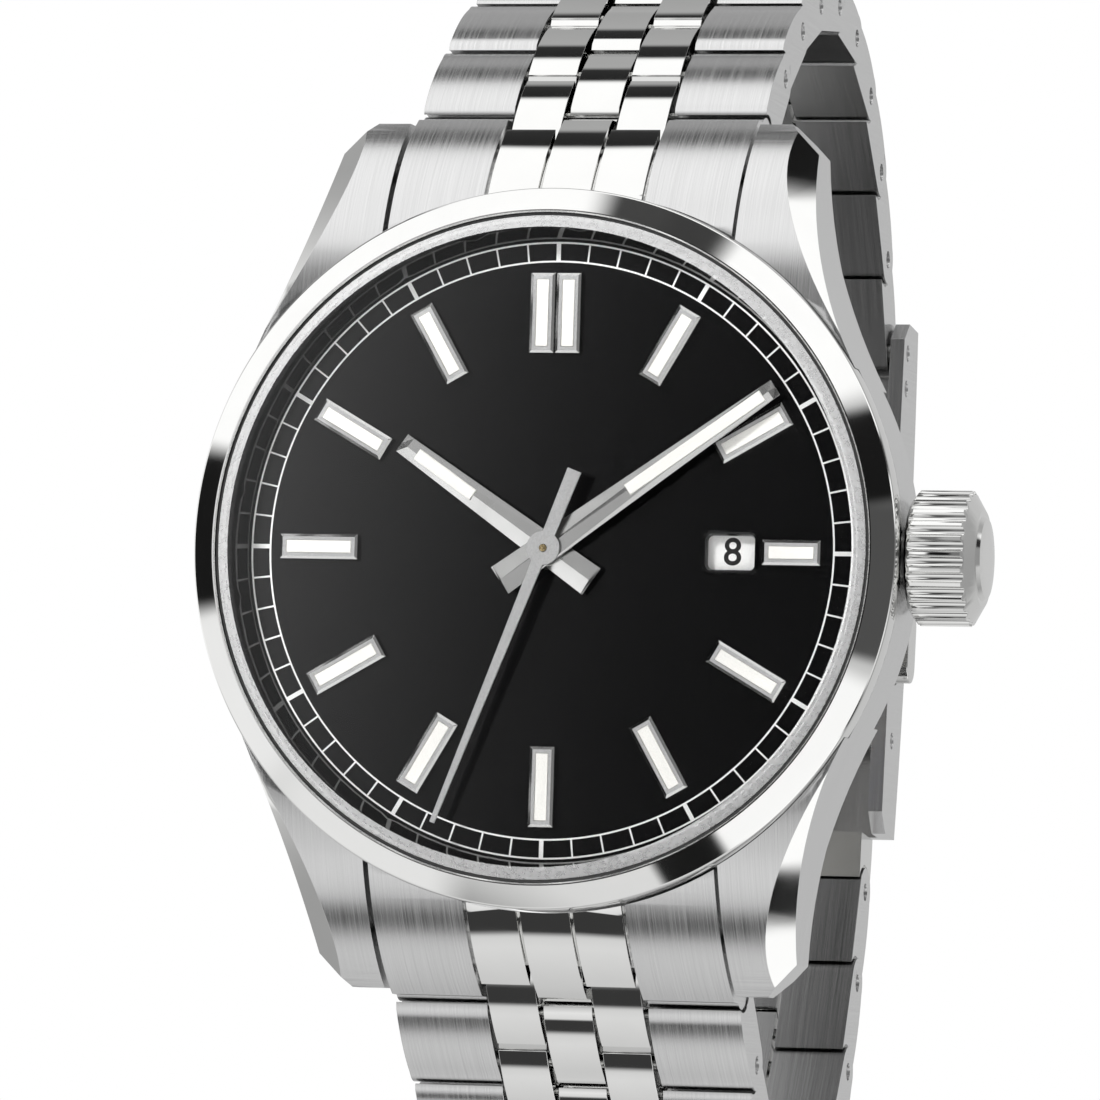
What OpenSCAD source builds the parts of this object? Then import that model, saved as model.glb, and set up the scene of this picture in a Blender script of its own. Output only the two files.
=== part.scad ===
// A three-hand automatic wristwatch with a date, on a five-row steel bracelet.
// The watch stands upright: +Z points to 12 o'clock, +X to 3 o'clock and the
// dial faces -Y. The origin is the centre of the flat case back. The head is
// drawn in its own frame, with +Z up out of the dial, and upright() turns it.

/* [Case] */
// Radius of the case and of the bezel
case_r = 20.5; // [20.3:0.1:20.8]
// Height of the dial face above the case back
dial_z = 8.0; // [7.9:0.1:8.2]
// Height of the crown's axis above the case back
crown_z = 5.5; // [5.4:0.1:5.6]
// Gap between the two lugs of a pair
lug_gap = 20.7; // [20.6:0.1:21]
// Distance from the centre to the lug tips
lug_tip = 25; // [24.8:0.1:25.4]
// Height of the bezel above the dial face
bezel_h = 2.8; // [2.6:0.1:3]

/* [Crown] */
// Radius of the crown
crown_r = 3.85; // [3.6:0.05:4]
// Length of the crown
crown_len = 4.2; // [3.7:0.1:4.3]
// Number of flutes around the crown
crown_flutes = 27; // [20:1:32]
// Travel of the crown to the hand-setting position
crown_pull = 1.5; // [1:0.1:1.6]

/* [Dial and hands] */
// Radius of the dial disc
dial_r = 17.95; // [17.8:0.05:18]
// Clock time shown by the hour hand, in hours
shown_hours = 10.15; // [0:0.05:12]
// Clock time shown by the minute hand, in minutes
shown_minutes = 9.1; // [0:0.1:60]
// Place of the seconds hand, in seconds
shown_seconds = 33.5; // [0:0.5:60]
// Length of an hour marker
marker_len = 4.6; // [4:0.1:4.7]
// Width of an hour marker
marker_w = 1.45; // [1.2:0.05:1.45]

/* [Bracelet] */
// Links on each side of the clasp
links = 9; // [9:1:9]
// Distance between two hinge pins
pitch = 6.2; // [6.1:0.05:6.3]
// Width of the bracelet at the case
width_case = 20.4; // [20:0.1:20.4]
// Width of the bracelet at the clasp
width_clasp = 17.8; // [17.4:0.1:17.9]
// Distance between the middles of two polished rows
row_pitch = 3.1; // [3:0.05:3.2]
// Half the thickness of a link at its hinge
half_t = 1.5; // [1.4:0.05:1.55]

/* [Hidden] */
links_12 = [for (i = [1:links]) str("link_12_", i)];
links_6 = [for (i = [1:links]) str("link_6_", i)];
$fn = 96;

// Case: the back bore takes the movement and the dial, the top takes the bezel
bore_r = 18.1;
case_bottom_z = 2.0;
case_top_z = dial_z + 0.3;
bezel_top_z = dial_z + bezel_h;
crystal_r = 18.85;
crystal_z = dial_z + 2.0;
crystal_t = 1.2;
crystal_bevel = 0.7;
gasket_t = 0.18;
seat_r = 18.65;
glass_back_r = 12.85;
// Lugs: their top is one arc, and the outside of each is an arc tangent to the case
lug_arc_r = 15.3;
lug_arc = [12.2, dial_z + 1.5 - lug_arc_r];
flank_angle = 28;
flank_r = 36;
flank_centre = (case_r + flank_r) * [cos(flank_angle), sin(flank_angle)];
lug_play = 0.2;
tip_flat = 1.8;
tip_cut = 2.6;
// Polished facet along each lug's outer edge: an arc seen at 45 degrees to the dial
facet_r = 58;
facet_centre = [-11, -34.5];
facet_y = 11.5;
// Spring bar that holds an end link, in the head's frame (y, z)
bar_y = 21.9;
bar_z = dial_z - 5;
bar_r = 0.7;
bar_tip_r = 0.42;
bar_tip_len = 1.2;
// Winding stem and crown tube
stem_r = 0.5;
tube_r = 1.5;
crown_x = case_r + 0.15;
crown_cavity_r = 1.9;
flute_r = 0.33;
gasket_x = crown_x + 0.6;
tube_end = gasket_x + crown_pull + 0.1;
// Movement: 25.6 mm across, between the rotor and the dial
movement_r = 12.8;
plate_z = 5.9;
plate_top_z = dial_z - 0.5;
bridge_z = 3.5;
bridge_t = 0.65;
staff_r = 0.15;
staff_start = bridge_z + 0.25;
staff_end = plate_z - 0.05;
rotor_r = 12.3;
rotor_post_r = 1.2;
// Centres of the wheels, seen from the front: each is a pitch distance from its driver
third_at = 3.4 * [cos(80), sin(80)];
second_at = third_at + 3.6 * [cos(175), sin(175)];
barrel_at = second_at + 5.2 * [cos(225), sin(225)];
escape_at = 2.25 * [cos(-60), sin(-60)];
pallet_at = escape_at + 2.6 * [cos(-60), sin(-60)];
balance_at = pallet_at + 3.6 * [cos(-75), sin(-75)];
cock_foot_at = balance_at + 5.9 * [cos(200), sin(200)];
barrel_r = 4.6;
wheel_t = 0.15;
spiral_turns = 4;
spiral_w = 0.09;
// Date window and date ring
date_x = 10.5;
date_w = 2.8;
date_h = 2.0;
// Hour markers, and the slots that hold the luminous inserts
marker_start = 11.2;
marker_h = 0.5;
lume_w = 0.7;
lume_gap = 0.02;
hand_t = 0.25;
seconds_z = dial_z + 1.6;
// Bracelet links, in a link's own frame: y runs along the link, z points outward
knuckle_r = half_t;
knuckle_gap = 0.18;
bow_h = half_t + 0.4;
bow_r = (pow(pitch / 2, 2) + pow(bow_h - knuckle_r, 2)) / (2 * (bow_h - knuckle_r));
row_gap = 0.22;
row_w = row_pitch - row_gap;
side_x = 1.5 * row_pitch + row_gap / 2;
lip_len = 0.37;
lip_h = 0.24;
connector_r = pitch / 2 - 0.15;
connector_gap = 0.12;
pin_r = 0.5;
pin_play = 0.04;
fixed_pin_r = 0.35;
fixed_pin_y = 2.45;
press_play = 0.02;
// Route of the bracelet as (depth, height): the heading is the angle from straight up
strand_root = [0.2, 24.2];
root_heading = 31;
strand_12 = [46, 13.6, -5];
strand_6 = [42, 14.3, -14];
// Clasp
clasp_from = joint_at(strand_12, links);
clasp_to = [joint_at(strand_6, links)[0], -joint_at(strand_6, links)[1]];
clasp_len = norm(clasp_to - clasp_from);
clasp_heading = atan2(clasp_to[0] - clasp_from[0], clasp_to[1] - clasp_from[1]);
cover_start = -1.9;
cover_end = clasp_len - 3.7;
cover_inner_x = width_clasp / 2 + 0.15;
cover_wall = 0.9;
cover_x = cover_inner_x + cover_wall;
cover_arc_r = 150;
cover_top = 3.8;
cover_floor = -1.2;
fold_y = clasp_len - 9.6;
fold_z = 0.75;
knee_y = 4.6;
knee_z = -0.1;
knee_r = 0.95;
knee_pin_r = 0.45;
fold_pin_r = 0.5;
spare_hole_y = 2.25;
blade_x = 5.5;
blade_t = 0.8;
button_y = 18.4;
button_travel = 0.7;
button_r = 1.15;
button_inner_x = 7.2;

function heading(strand, i) = strand[0] + strand[1] * i + strand[2] * sin(360 * i / (links - 1));
function joint_at(strand, i) =
    i == 0 ? strand_root : joint_at(strand, i - 1) + pitch * along(heading(strand, i - 1));
function along(angle) = [sin(angle), cos(angle)];
function link_width(i) = width_case - (width_case - width_clasp) * (i - 1) / (links - 1);
function head_before(strand, i) = i < 2 ? root_heading : heading(strand, i - 2);

module upright() rotate([90, 0, 0]) children();
module turned(points) rotate_extrude() polygon(points);
module along_x(width) rotate([90, 0, 90]) linear_extrude(width, center = true) children();
module ring(outer, inner, z0, z1) turned([[inner, z0], [outer, z0], [outer, z1], [inner, z1]]);
module disc(r, z0, z1) translate([0, 0, z0]) cylinder(r = r, h = z1 - z0);
module at(place) translate([place[0], place[1], 0]) children();
module both_sides() {
    children();
    mirror([1, 0, 0]) children();
}
module both_ends() {
    children();
    mirror([0, 1, 0]) children();
}
module on_crown_axis() translate([0, 0, crown_z]) rotate([0, 90, 0]) children();

// ---------- Case ----------

// Side view of a lug: the arc of its top, cut off at the tip and underneath
module lug_side() intersection() {
    translate(lug_arc) circle(r = lug_arc_r);
    polygon([[9, 2.2], [16.5, 2.2], [lug_tip - 1, 0.15], [lug_tip, 1.2], [lug_tip, 12], [9, 12]]);
}

// Front view of a lug: straight inside, swept into the case outside, the tip's outer corner cut off
module lug_plan() difference() {
    start = case_r * sin(flank_angle);
    translate([lug_gap / 2, start]) square([case_r - lug_gap / 2, lug_tip - start]);
    translate(flank_centre) circle(r = flank_r);
    polygon([
        [lug_gap / 2 + tip_flat, lug_tip + 0.1], [lug_gap / 2 + tip_flat + tip_cut, lug_tip - tip_cut],
        [case_r, lug_tip - tip_cut], [case_r, lug_tip + 0.1]
    ]);
}

// What the facet cuts off: all that lies outside its arc
module lug_facet() rotate([0, 45, 0]) along_x(4 * lug_tip) difference() {
    translate([facet_y, 0]) square(lug_tip);
    translate(facet_centre) circle(r = facet_r);
}

module spring_bar_holes(r) both_ends() translate([0, bar_y, bar_z])
    rotate([0, 90, 0]) cylinder(r = r, h = lug_gap + 2 * bar_tip_len, center = true);

module case_middle() color("silver") upright() difference() {
    union() {
        turned([
            [bore_r, case_bottom_z], [case_r - 0.9, case_bottom_z], [case_r, case_bottom_z + 1.3],
            [case_r, case_top_z], [bore_r, case_top_z]
        ]);
        both_ends() both_sides() intersection() {
            linear_extrude(12) difference() {
                lug_plan();
                circle(r = bore_r + 0.5);
            }
            along_x(3 * case_r) lug_side();
        }
    }
    both_ends() both_sides() lug_facet();
    disc(case_r + 0.03, case_top_z, 2 * case_top_z);
    on_crown_axis() cylinder(r = tube_r, h = case_r + 2);
    spring_bar_holes(bar_tip_r + 0.03);
}

module bezel() color("gainsboro") upright() turned([
    [seat_r, case_top_z + 0.05], [case_r, case_top_z + 0.05], [case_r, bezel_top_z - 0.95],
    [case_r - 0.12, bezel_top_z - 0.75], [crystal_r + gasket_t + 0.15, bezel_top_z],
    [crystal_r + gasket_t, bezel_top_z - 0.08], [crystal_r + gasket_t, crystal_z - 0.02],
    [seat_r, crystal_z - 0.02]
]);

module crystal() color("lightblue", 0.3) upright() turned([
    [0, crystal_z], [crystal_r, crystal_z], [crystal_r, crystal_z + 0.65],
    [crystal_r - crystal_bevel, crystal_z + crystal_t], [0, crystal_z + crystal_t]
]);

module crystal_gasket() color("dimgray") upright()
    ring(crystal_r + gasket_t - 0.02, crystal_r + 0.02, crystal_z, crystal_z + 0.6);

// The dark flange between the dial and the crystal
module rehaut() color("black") upright() turned([
    [dial_r - 0.25, dial_z + 0.03], [bore_r - 0.05, dial_z + 0.03], [bore_r - 0.05, case_top_z + 0.1],
    [seat_r - 0.02, case_top_z + 0.1], [seat_r - 0.02, crystal_z - 0.05],
    [dial_r + 0.3, crystal_z - 0.05]
]);

module case_back() color("silver") upright() difference() {
    turned([
        [glass_back_r, 0], [19.0, 0], [19.2, 0.2], [19.2, case_bottom_z - 0.1],
        [bore_r - 0.05, case_bottom_z - 0.1], [bore_r - 0.05, 3.4], [15.5, 3.4], [15.5, 1.6],
        [glass_back_r - 0.45, 1.6], [glass_back_r - 0.45, 1.25], [glass_back_r, 1.25]
    ]);
    ring(19.0, 18.3, 1.5, case_bottom_z);
    for (k = [0:5]) rotate([0, 0, 60 * k + 30]) translate([19.2, 0, -0.1]) cylinder(r = 0.9, h = 0.9);
}

module case_back_crystal() color("lightblue", 0.3) upright() disc(glass_back_r - 0.02, 0, 1.22);

module case_back_gasket() color("dimgray") upright() ring(18.9, 18.4, 1.55, case_bottom_z);

module movement_holder() color("dimgray") upright() difference() {
    ring(bore_r - 0.1, movement_r + 0.1, 3.5, plate_top_z);
    on_crown_axis() cylinder(r = stem_r + 0.3, h = case_r);
    dial_feet(0.05);
}

module crown_tube() color("silver") upright() on_crown_axis() difference() {
    disc(tube_r, bore_r + 0.3, tube_end);
    disc(stem_r + 0.25, 0, tube_end + 1);
}

// ---------- Crown ----------

module crown_gasket() color("dimgray") upright() on_crown_axis() translate([0, 0, gasket_x])
    rotate_extrude() translate([(tube_r + crown_cavity_r) / 2, 0]) circle(r = 0.18, $fn = 24);

module winding_stem() color("lightslategray") upright() on_crown_axis()
    disc(stem_r, 9.6, crown_x + crown_len - 0.7);

module crown() color("silver") upright() on_crown_axis() difference() {
    end = crown_x + crown_len;
    turned([
        [0, crown_x], [crown_r - 0.5, crown_x], [crown_r, crown_x + 0.4], [crown_r, end - 0.9],
        [crown_r - 1.1, end - 0.25], [crown_r - 1.4, end - 0.25], [crown_r - 1.6, end - 0.05],
        [1.2, end], [0, end]
    ]);
    disc(crown_cavity_r, crown_x - 1, end - 1.2);
    disc(stem_r + 0.02, crown_x, end - 0.68);
    for (k = [1:crown_flutes]) rotate([0, 0, 360 * k / crown_flutes])
        translate([crown_r + 0.08, 0, crown_x - 1]) cylinder(r = flute_r, h = crown_len + 2, $fn = 16);
}

// ---------- Dial and hands ----------

module dial_feet(play) for (angle = [40, 220]) rotate([0, 0, angle])
    translate([15.5, 0, 0]) disc(0.35 + play, dial_z - 1.2, dial_z - 0.2);

module dial() color("black") upright() {
    difference() {
        disc(dial_r, dial_z - 0.4, dial_z);
        disc(1.15, 0, dial_z + 1);
        translate([date_x - date_w / 2, -date_h / 2, 0]) cube([date_w, date_h, dial_z + 1]);
    }
    intersection() {
        dial_feet(0);
        disc(dial_r, 0, dial_z - 0.4);
    }
}

// A bar along +Y from the start radius, with bevelled long sides
module marker_bar(start, len) translate([0, start, dial_z]) rotate([-90, 0, 0]) mirror([0, 1, 0])
    linear_extrude(len) polygon([
        [-marker_w / 2, 0], [marker_w / 2, 0], [marker_w / 2, marker_h / 2],
        [marker_w / 2 - 0.2, marker_h], [0.2 - marker_w / 2, marker_h], [-marker_w / 2, marker_h / 2]
    ]);
module lume_bar(start, len, play) translate([0, start + len / 2, dial_z + marker_h - 0.11])
    cube([lume_w + 2 * play, len - 0.8 + 2 * play, 0.18 + 2 * play], center = true);

// Every place of a marker: the clock hour, the sideways step, the start and the length
marker_places = concat(
    [for (hour = [1, 2, 4, 5, 6, 7, 8, 9, 10, 11]) [hour, 0, marker_start, marker_len]],
    [[3, 0, marker_start + 1.2, marker_len - 1.2]],
    [for (side = [-1, 1]) [12, side * (marker_w / 2 + 0.03), marker_start, marker_len]]
);

module hour_markers() color("white") upright() for (m = marker_places)
    rotate([0, 0, -30 * m[0]]) translate([m[1], 0, 0]) difference() {
        marker_bar(m[2], m[3]);
        lume_bar(m[2], m[3], lume_gap);
    }

module marker_lume() color("beige") upright() for (m = marker_places)
    rotate([0, 0, -30 * m[0]]) translate([m[1], 0, 0]) lume_bar(m[2], m[3], 0);

module date_ring() color("white") upright() ring(12.3, 8.8, dial_z - 0.85, dial_z - 0.6);

// A tapered blade along +Y with a blunt tail, around the hub
module hand_plate(len, tail, tip_w, tail_w, z, t) translate([0, 0, z]) linear_extrude(t)
    polygon([[-tail_w / 2, -tail], [tail_w / 2, -tail], [tip_w / 2, len], [-tip_w / 2, len]]);

// A luminous hand: the blade has a slot from slot[0] to slot[1], and the insert is a
// second solid in it. The hand turns on a tube that reaches down to tube_z.
module lume_hand(len, tip_w, z, bore, tube_wall, tube_z, slot) {
    top = z + hand_t;
    slot_len = slot[1] - slot[0];
    difference() {
        union() {
            hand_plate(len, 3.2, tip_w, 1.85, z, hand_t);
            disc(bore + tube_wall, tube_z, top);
        }
        disc(bore, 0, top + 1);
        translate([-lume_w / 2, slot[0], top - 0.12]) cube([lume_w, slot_len, 1]);
    }
    translate([lume_gap - lume_w / 2, slot[0] + lume_gap, top - 0.12 + lume_gap])
        cube([lume_w - 2 * lume_gap, slot_len - 2 * lume_gap, 0.09]);
}

module hour_hand() color("white") upright() rotate([0, 0, -30 * shown_hours]) {
    lume_hand(10.55, 1.2, dial_z + 0.65, 0.68, 0.3, dial_z - 0.8, [5.3, 9.4]);
    ring(3.0, 0.9, dial_z - 0.8, dial_z - 0.65);
}

module minute_hand() color("white") upright() rotate([0, 0, -6 * shown_minutes])
    lume_hand(16.3, 1.0, dial_z + 1.1, 0.28, 0.32, plate_z + 0.6, [5.8, 15.2]);

module seconds_hand() color("silver") upright() rotate([0, 0, -6 * shown_seconds]) {
    difference() {
        union() {
            hand_plate(16.8, 4.76, 0.3, 0.85, seconds_z, 0.15);
            disc(0.97, seconds_z, seconds_z + 0.15);
        }
        disc(0.22, 0, dial_z + 3);
    }
}

// ---------- Movement ----------

module main_plate() color("silver") upright() difference() {
    disc(movement_r, plate_z, plate_top_z);
    ring(12.45, 8.65, dial_z - 0.95, dial_z);
    disc(3.3, dial_z - 0.95, dial_z);
    disc(0.7, 0, dial_z);
    on_crown_axis() disc(stem_r + 0.15, 9.4, case_r);
}

// A bridge over the train, with a wall around its rim that stands on the main plate
module train_bridge() color("silver") upright() difference() {
    union() {
        disc(12.5, bridge_z, bridge_z + bridge_t);
        ring(12.5, 11.7, bridge_z, plate_z);
        disc(rotor_post_r, bridge_z - 1.2, bridge_z + 0.1);
    }
    at(balance_at) disc(4.7, 0, plate_z + 1);
    at(cock_foot_at) disc(1.8, 0, plate_z + 1);
    at((balance_at + cock_foot_at) / 2) disc(3.4, 0, plate_z + 1);
    translate([8, -1.5, bridge_z + bridge_t]) cube([6, 3, plate_z]);
    for (place = [[0, 0], third_at, second_at, barrel_at, escape_at])
        at(place) disc(staff_r + 0.05, bridge_z + 0.2, plate_z);
}

module balance_cock() color("silver") upright() difference() {
    span = cock_foot_at - balance_at;
    union() {
        translate([0, 0, bridge_z]) linear_extrude(bridge_t) {
            translate(balance_at) circle(r = 1.3);
            translate(cock_foot_at) circle(r = 1.4);
            translate((balance_at + cock_foot_at) / 2) rotate(atan2(span[1], span[0]))
                square([norm(span), 1.8], center = true);
        }
        at(cock_foot_at) disc(1.2, bridge_z + 0.1, plate_z);
    }
    at(balance_at) disc(staff_r + 0.05, bridge_z + 0.2, plate_z);
}

// A countersunk-looking screw: a slotted head on the back face of a bridge
module movement_screw(place) at(place) difference() {
    disc(0.75, bridge_z - 0.22, bridge_z);
    translate([-1, -0.1, bridge_z - 0.3]) cube([2, 0.2, 0.18]);
}

module movement_screws() color("steelblue") upright() {
    for (angle = [60, 180, 300]) movement_screw(10.4 * [cos(angle - 40), sin(angle - 40)]);
    movement_screw(cock_foot_at);
    disc(1.7, bridge_z - 1.55, bridge_z - 1.22);
}

// A wheel with four round windows; pinion holds its radius and its two ends
module wheel(place, r, z, t, pinion, staff_top = staff_end) at(place) {
    difference() {
        disc(r, z, z + t);
        for (k = [0:3]) rotate([0, 0, 90 * k]) at([0.57 * r, 0]) disc(0.24 * r, z - 1, z + t + 1);
    }
    disc(staff_r, staff_start, staff_top);
    disc(pinion[0], pinion[1], pinion[2]);
}

module barrel() color("goldenrod") upright() at(barrel_at) {
    disc(barrel_r - 0.1, 4.4, 5.5);
    disc(barrel_r, 4.9, 5.1);
    disc(staff_r, staff_start, staff_end);
}

module second_wheel() color("goldenrod") upright()
    wheel(second_at, r = 3.1, z = 5.6, t = wheel_t, pinion = [0.5, 4.5, 5.5]);

module third_wheel() color("goldenrod") upright()
    wheel(third_at, r = 2.95, z = 4.75, t = wheel_t, pinion = [0.35, 5.2, 5.8]);

// The fourth wheel carries the seconds hand on its long arbor
module fourth_wheel() color("goldenrod") upright() {
    wheel([0, 0], r = 1.85, z = 5.35, t = wheel_t, pinion = [0.35, 4.65, 4.95], staff_top = seconds_z);
    disc(0.2, seconds_z, seconds_z + 0.25);
}

module escape_wheel() color("goldenrod") upright()
    wheel(escape_at, r = 1.95, z = 5.05, t = 0.12, pinion = [0.3, 5.3, 5.6]);

module pallet_fork() color("silver") upright() at(pallet_at) rotate([0, 0, -75]) {
    disc(staff_r, 5.0, staff_end);
    translate([0, 0, 5.05]) linear_extrude(0.15) polygon([
        [-0.2, -1.2], [0.2, -1.2], [0.2, -0.2], [2.3, -0.15], [2.3, 0.15], [0.2, 0.2],
        [0.2, 1.2], [-0.2, 1.2]
    ]);
}

module balance_wheel() color("goldenrod") upright() at(balance_at) {
    ring(4.1, 3.6, 4.6, 4.9);
    translate([-3.7, -0.2, 4.65]) cube([7.4, 0.4, 0.2]);
    disc(staff_r, staff_start, staff_end);
    disc(0.45, 5.3, 5.45);
}

// A flat spiral around the balance staff
function spiral_point(k, side) =
    let (angle = 12 * k, r = 0.45 + 0.4 * angle / 360 + side * spiral_w / 2)
    r * [cos(angle), sin(angle)];
module hairspring() color("lightsteelblue") upright() at(balance_at) translate([0, 0, 4.28])
    linear_extrude(0.15) polygon(concat(
        [for (k = [0:30 * spiral_turns]) spiral_point(k, 1)],
        [for (k = [30 * spiral_turns:-1:0]) spiral_point(k, -1)]
    ));

// A half disc with a heavy rim, hanging below its bearing
module rotor() color("gold") upright() {
    difference() {
        union() {
            disc(rotor_r - 0.5, 2.9, 3.15);
            ring(rotor_r, 10.3, 1.8, 3.15);
        }
        translate([-20, 0, 0]) cube([40, 20, 10]);
        disc(2.5, 0, 10);
    }
    ring(2.6, rotor_post_r + 0.05, 2.5, 3.15);
}

// ---------- Bracelet ----------

module at_joint(point, angle) translate([0, point[0], point[1]]) rotate([90 - angle, 0, 0]) children();

// Side view of the bowed outside of a link, its top at the given place
module bow(middle) translate([middle, bow_h - bow_r]) circle(r = bow_r);

// Side view of a plate between two hinges: the knuckle is round and the other end hooks over one
module plate_side() difference() {
    union() {
        intersection() {
            bow(pitch / 2);
            translate([0, -half_t]) square([pitch, 2 * bow_h]);
        }
        translate([pitch, 0]) circle(r = knuckle_r);
    }
    circle(r = knuckle_r + knuckle_gap);
    end_lip(0.75, half_t);
}

// The slanted lip at the end of a link that is nearer the case, cut off the corner at (y, z)
module end_lip(y, z) polygon([
    [y, z], [y + lip_len, z + lip_h], [y + lip_len, z + 1], [y - 1, z + 1], [y - 1, z]
]);

// Side view of a connector, centred on the hinge and tilted halfway between its two links
module connector_side(tilt) difference() {
    rotate(tilt) difference() {
        intersection() {
            bow(0);
            translate([-pitch, -half_t]) square([2 * pitch, 2 * bow_h]);
            union() {
                circle(r = connector_r);
                translate([0, -pitch]) square(2 * pitch);
            }
        }
        end_lip(-2.63, 1.34);
    }
    translate([pitch, 0]) circle(r = connector_r + connector_gap);
}

// The three rows that run from hinge to hinge: middle row and two outer rows
module plate_rows(width) {
    along_x(row_w) children();
    outer = width / 2 - side_x;
    both_sides() translate([side_x + outer / 2, 0, 0]) along_x(outer) children();
}

// The two rows between them
module connector_rows(width = row_w) both_sides() translate([row_pitch, 0, 0]) along_x(width) children();

module pin(r, y, length) translate([0, y, 0]) rotate([0, 90, 0])
    cylinder(r = r, h = length, center = true);

module link(strand, i, tail) {
    width = link_width(i);
    fixed_pin_len = width - 1.6;
    tilt = (heading(strand, i - 1) - head_before(strand, i)) / 2;
    difference() {
        plate_rows(width) plate_side();
        pin(pin_r + pin_play, pitch, 2 * width);
        pin(fixed_pin_r + press_play, fixed_pin_y, fixed_pin_len + 2 * press_play);
    }
    difference() {
        connector_rows() connector_side(tilt);
        pin(pin_r + press_play, 0, width);
        pin(fixed_pin_r + press_play, fixed_pin_y, width);
    }
    if (tail) difference() {
        connector_rows() difference() {
            plate_side();
            translate([-pitch / 2, -pitch]) square([pitch + 0.15, 2 * pitch]);
        }
        pin(pin_r + pin_play, pitch, 2 * width);
    }
    pin(pin_r, 0, width - 0.6);
    pin(fixed_pin_r, fixed_pin_y, fixed_pin_len);
}

module bracelet_link(strand, i, tail = false) color("silver")
    at_joint(joint_at(strand, i - 1), heading(strand, i - 1)) link(strand, i, tail && i == links);

// Side view of an end link, in the head's frame: it follows the lugs down to the first hinge
module end_link_side() {
    intersection() {
        translate(lug_arc) circle(r = lug_arc_r - 0.15);
        polygon([[16, 1.2], [22, -1.3], [24.2, -1.6], [25.2, -1.2], [25.35, 0.76], [25.1, 12], [16, 12]]);
    }
    translate([strand_root[1], -strand_root[0]]) circle(r = knuckle_r);
}

module end_link() difference() {
    along_x(width_case - lug_play) end_link_side();
    disc(case_r + 0.1, -10, 20);
    connector_rows(row_pitch + row_gap) translate([strand_root[1], -strand_root[0]])
        circle(r = connector_r + connector_gap);
    for (x = [-1.5, -0.5, 0.5, 1.5]) translate([x * row_pitch, 0, 0]) along_x(row_gap) difference() {
        translate([16, -5]) square([14, 14]);
        translate(lug_arc) circle(r = lug_arc_r - 1.1);
    }
    translate([0, strand_root[1], -strand_root[0]]) pin(pin_r + pin_play, 0, 30);
    translate([0, bar_y, bar_z]) pin(bar_r + 0.03, 0, 30);
}

module end_link_12() color("silver") upright() end_link();
module end_link_6() color("silver") upright() mirror([0, 1, 0]) end_link();

module lug_spring_bars() color("lightslategray") upright() both_ends() translate([0, bar_y, bar_z]) {
    pin(bar_r, 0, width_case);
    pin(bar_tip_r, 0, lug_gap + 2 * bar_tip_len - 0.2);
}

// ---------- Clasp: y runs from the 12 side to the 6 side, z points outward ----------

module in_clasp() at_joint(clasp_from, clasp_heading) children();

module cover_arc(inset) {
    middle = (cover_start + cover_end) / 2;
    translate([middle, cover_top - cover_arc_r]) circle(r = cover_arc_r - inset, $fn = 360);
}

module cover_span(floor) translate([cover_start, floor]) square([cover_end - cover_start, 10]);

module clasp_cover() color("silver") in_clasp() difference() {
    union() {
        along_x(2 * cover_x) intersection() {
            difference() {
                cover_arc(0);
                cover_arc(cover_wall);
            }
            cover_span(0);
        }
        both_sides() translate([cover_x - cover_wall / 2, 0, 0]) along_x(cover_wall) intersection() {
            cover_arc(0);
            polygon([
                [cover_start, 6], [cover_start, 0.2], [cover_start + 1.2, cover_floor],
                [cover_end - 1.2, cover_floor], [cover_end, 0.2], [cover_end, 6]
            ]);
        }
    }
    for (y = [0, spare_hole_y]) pin(pin_r + press_play, y, 30);
    translate([0, fold_y, fold_z]) pin(fold_pin_r + press_play, 0, 30);
    along_x(30) button_side(button_r + 0.12);
}

// The pins that stay in the cover: the spring bar of the 12 side and the pin of the fold
module clasp_pins() color("lightslategray") in_clasp() {
    pin(pin_r, 0, 2 * cover_x - 0.4);
    translate([0, fold_y, fold_z]) pin(fold_pin_r, 0, 2 * cover_x - 0.4);
}

module clasp_blade_outer() color("silver") in_clasp() difference() {
    union() {
        along_x(2 * blade_x - 2) {
            translate([knee_y + 1.4, 0.3]) square([fold_y - knee_y - 1.4, blade_t]);
            translate([fold_y, fold_z]) circle(r = 0.8);
        }
        along_x(4.4) {
            translate([knee_y, 0.3]) square([3, blade_t]);
            translate([knee_y, knee_z]) circle(r = knee_r);
            translate([knee_y - 0.5, knee_z]) square([1, 1]);
        }
    }
    translate([0, fold_y, fold_z]) pin(fold_pin_r + pin_play, 0, 30);
    translate([0, knee_y, knee_z]) pin(knee_pin_r + pin_play, 0, 30);
}

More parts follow.
